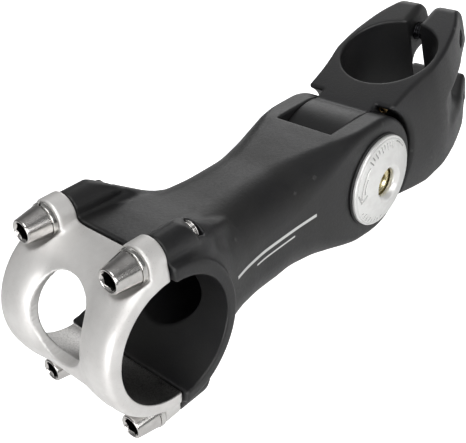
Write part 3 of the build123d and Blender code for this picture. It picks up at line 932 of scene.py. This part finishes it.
def cap_silver(name):
    """Turned aluminium disc, very fine concentric tool marks, painted shade in the engraved lines
    and the hole.
    """
    ring_rate = 34.0    # radians of tool mark per mm of radius
    crevice_shade, hollow_shade = 0.85, 0.95
    paint = Paint(name)
    rings = paint.math("SINE", paint.math("MULTIPLY", paint.radial(PIVOT), ring_rate))
    frost = paint.noise(scale=4.0, detail=3.0, rough=0.6)
    smear = paint.noise(scale=0.35, detail=3.0, rough=0.6)
    # painted shade: darker where the surface is concave, in the engraved lines, the turned line and
    # the hole edge
    low = paint.remap(paint.pointy(), span=(0.36, 0.485), to=(1.0, 0.0))
    base = paint.mix(paint.remap(smear, span=(0.35, 0.7)),
                     (0.88, 0.88, 0.865), (0.80, 0.795, 0.78))
    base = paint.mix(paint.math("MULTIPLY", low, crevice_shade), base, (0.16, 0.155, 0.145))
    # painted shade: near black in the hole, the engraved lines and other tight recesses
    recess = paint.math("MULTIPLY", paint.hollow(reach=0.5, span=(0.50, 0.93)), hollow_shade)
    base = paint.mix(recess, base, (0.07, 0.068, 0.064))
    paint.put("Base Color", base)
    paint.put("Metallic", 0.6)
    paint.put("Roughness", paint.remap(frost, span=(0.3, 0.7), to=(0.30, 0.42)))
    normal = paint.bump(rings, strength=0.10, depth=0.012)
    paint.put("Normal", paint.bump(frost, strength=0.10, depth=0.02, normal=normal))
    return paint.material


def plated(name, colour, dark, rough):
    """Plated metal: slight colour drift, faint handling marks, painted shade in creases and deep in
    the recesses.
    """
    hollow_shade = 0.96
    paint = Paint(name)
    drift = paint.noise(scale=0.5, detail=3.0, rough=0.6)
    fine = paint.noise(scale=9.0, detail=2.0, rough=0.6)
    marks = paint.noise(scale=3.0, detail=4.0, rough=0.7, distortion=0.4)
    base = paint.mix(paint.remap(drift, span=(0.3, 0.7)), colour, dark)
    # painted shade: darker in concave creases
    base = paint.mix(paint.remap(paint.pointy(), span=(0.38, 0.49), to=(0.55, 0.0)),
                     base, tuple(0.25 * channel for channel in dark))
    # painted shade: near black deep in sockets and other recesses
    recess = paint.math("MULTIPLY", paint.hollow(reach=4.2, span=(0.36, 0.74)), hollow_shade)
    base = paint.mix(recess, base, (0.012, 0.011, 0.010))
    paint.put("Base Color", base)
    paint.put("Metallic", 1.0)
    marked = paint.remap(marks, span=(0.35, 0.7), to=(rough * 0.8, rough * 1.35))
    grain = paint.remap(fine, span=(0.3, 0.7), to=(-0.015, 0.015))
    paint.put("Roughness", paint.math("ADD", marked, grain))
    paint.put("Normal", paint.bump(fine, strength=0.06, depth=0.02))
    return paint.material


def ground_steel(name):
    """Plain machined steel with a directional grind."""
    paint = Paint(name)
    stretch = paint.node("Mapping")
    stretch.inputs["Scale"].default_value = (9.0, 0.6, 9.0)
    paint.feed(stretch, 0, paint.position)
    grind = paint.noise(scale=1.0, detail=3.0, rough=0.6, vector=stretch.outputs[0])
    drift = paint.noise(scale=0.4, detail=2.0, rough=0.5)
    paint.put("Base Color", paint.mix(paint.remap(drift, span=(0.3, 0.7)),
                                      (0.50, 0.50, 0.51), (0.40, 0.39, 0.38)))
    paint.put("Metallic", 1.0)
    paint.put("Roughness", paint.remap(grind, span=(0.3, 0.7), to=(0.28, 0.44)))
    paint.put("Normal", paint.bump(grind, strength=0.12, depth=0.02))
    return paint.material


def rubber(name):
    paint = Paint(name)
    grain = paint.noise(scale=3.0, detail=3.0, rough=0.6)
    paint.put("Base Color", paint.mix(paint.remap(grain, span=(0.3, 0.7)),
                                      (0.010, 0.010, 0.010), (0.022, 0.022, 0.022)))
    paint.put("Roughness", paint.remap(grain, span=(0.3, 0.7), to=(0.5, 0.66)))
    paint.put("Normal", paint.bump(grain, strength=0.2, depth=0.04))
    return paint.material


MATERIALS = {
    "black_alloy": black_coat("black_powder_coat"),
    "black_body": black_coat("black_powder_coat_striped", striped=True),
    "silver_alloy": satin_silver("satin_aluminium"),
    "cap_silver": cap_silver("turned_aluminium"),
    "chrome_steel": plated("bright_plated_steel", colour=(0.66, 0.645, 0.63),
                           dark=(0.52, 0.505, 0.49), rough=0.17),
    "spring_steel": plated("plated_spring_steel", colour=(0.70, 0.69, 0.67),
                           dark=(0.56, 0.55, 0.53), rough=0.22),
    "zinc_gold": plated("yellow_zinc", colour=(0.84, 0.78, 0.53),
                        dark=(0.70, 0.62, 0.37), rough=0.26),
    "brass": plated("dull_brass", colour=(0.62, 0.42, 0.20),
                    dark=(0.42, 0.27, 0.12), rough=0.34),
    "black_rubber": rubber("black_rubber"),
    "plain_steel": ground_steel("ground_steel"),
    "black_steel": plated("black_oxide_steel", colour=(0.045, 0.045, 0.05),
                          dark=(0.028, 0.028, 0.03), rough=0.36),
}
slots = {part["node"]: part["material_slot"] for part in record["subparts"]}
for ob, key in [(ob, slots[node]) for node, ob in frame["nodes"].items()] + pieces:
    ob.data.materials.clear()
    ob.data.materials.append(MATERIALS[key])


# ======================= floor, light, camera ==============================
FLOOR_GLOW = 0.9    # emission of the floor as the camera sees it
FLOOR_HALF = 3.0
# columns: position up the ramp, grey level
WORLD = [(0.0, 0.12), (0.12, 0.26), (0.40, 0.15), (0.62, 0.16), (1.0, 0.50)]
# columns: name, offset from the centre of the stem (m), size (m), power (W)
LIGHTS = [
    ("key_back", (-0.58, -0.34, 0.15), 0.36, 0.8),
    ("top", (0.02, 0.16, 0.70), 0.40, 1.85),
    ("fill_left", (0.10, 0.74, 0.40), 0.45, 2.3),
    ("front", (0.78, 0.18, 0.30), 0.42, 3.6),
]


def floor_material():
    material = bpy.data.materials.new("floor_pale")
    material.use_nodes = True
    tree = material.node_tree
    inputs = tree.nodes["Principled BSDF"].inputs
    inputs["Base Color"].default_value = (0.86, 0.86, 0.86, 1)
    inputs["Roughness"].default_value = 0.9
    inputs["Specular IOR Level"].default_value = 0.05
    path = tree.nodes.new("ShaderNodeLightPath")
    glow = tree.nodes.new("ShaderNodeMath")
    glow.operation = "MULTIPLY"
    tree.links.new(path.outputs["Is Camera Ray"], glow.inputs[0])
    glow.inputs[1].default_value = FLOOR_GLOW
    inputs["Emission Color"].default_value = (1, 1, 1, 1)
    tree.links.new(glow.outputs[0], inputs["Emission Strength"])
    return material


def add_floor(lowest):
    """The floor lies under the lowest place that the stem reaches when it swings right down."""
    dip = RISE + math.radians(joints["stem_angle"]["range_deg"][0])
    far = REACH + joints["faceplate_slide"]["range_m"][1] * 1000.0
    z = min(lowest - 0.0006, (PIVOT[2] + far * math.sin(dip) - 28.0) * MM)
    mesh = bpy.data.meshes.new("floor")
    corners = [(x * FLOOR_HALF, y * FLOOR_HALF, z) for x, y in ((-1, -1), (1, -1), (1, 1), (-1, 1))]
    mesh.from_pydata(corners, [], [(0, 1, 2, 3)])
    floor = link_object("floor", mesh)
    mesh.materials.append(floor_material())
    floor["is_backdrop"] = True


def add_light(centre, name, offset, size, power):
    light = bpy.data.lights.new(name, "AREA")
    light.shape = "RECTANGLE"
    light.size = size
    light.size_y = size
    light.energy = power
    ob = link_object(name, light)
    ob.location = centre + Vector(offset)
    ob.rotation_euler = (centre - ob.location).to_track_quat("-Z", "Y").to_euler()


def add_world():
    """Grey ramp up the sky for lighting, plain white to the camera."""
    world = bpy.data.worlds.new("world")
    bpy.context.scene.world = world
    world.use_nodes = True
    nodes, links = world.node_tree.nodes, world.node_tree.links
    background = nodes["Background"]
    coords = nodes.new("ShaderNodeTexCoord")
    split = nodes.new("ShaderNodeSeparateXYZ")
    links.new(coords.outputs["Generated"], split.inputs[0])
    ramp = nodes.new("ShaderNodeValToRGB")
    links.new(split.outputs[2], ramp.inputs[0])
    stops = ramp.color_ramp.elements
    stops.remove(stops[-1])
    stops[0].position = WORLD[0][0]
    stops[0].color = (*[WORLD[0][1]] * 3, 1)
    for position, grey in WORLD[1:]:
        stops.new(position).color = (grey, grey, grey, 1)
    path = nodes.new("ShaderNodeLightPath")
    mix = nodes.new("ShaderNodeMix")
    mix.data_type = "RGBA"
    links.new(path.outputs["Is Camera Ray"], mix.inputs[0])
    links.new(ramp.outputs[0], mix.inputs[6])
    mix.inputs[7].default_value = (1, 1, 1, 1)
    links.new(mix.outputs[2], background.inputs[0])
    background.inputs[1].default_value = 1.0


def add_camera():
    camera = bpy.data.cameras.new("camera")
    camera.sensor_width = 36.0
    camera.sensor_fit = "HORIZONTAL"
    camera.lens = 60.995
    camera.shift_x, camera.shift_y = 0.070147, 0.007621
    camera.clip_start = 0.01
    ob = link_object("camera", camera)
    ob.location = (0.158682, 0.119058, 0.172955)
    ob.rotation_mode = "QUATERNION"
    ob.rotation_quaternion = (0.43584933, 0.02159389, 0.37862538, 0.81621804)
    bpy.context.scene.camera = ob


low, high = (Vector(corner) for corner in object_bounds())
add_floor(low.z)
for light_row in LIGHTS:
    add_light((low + high) / 2, *light_row)
add_world()
add_camera()
bpy.context.scene.view_settings.view_transform = "Standard"
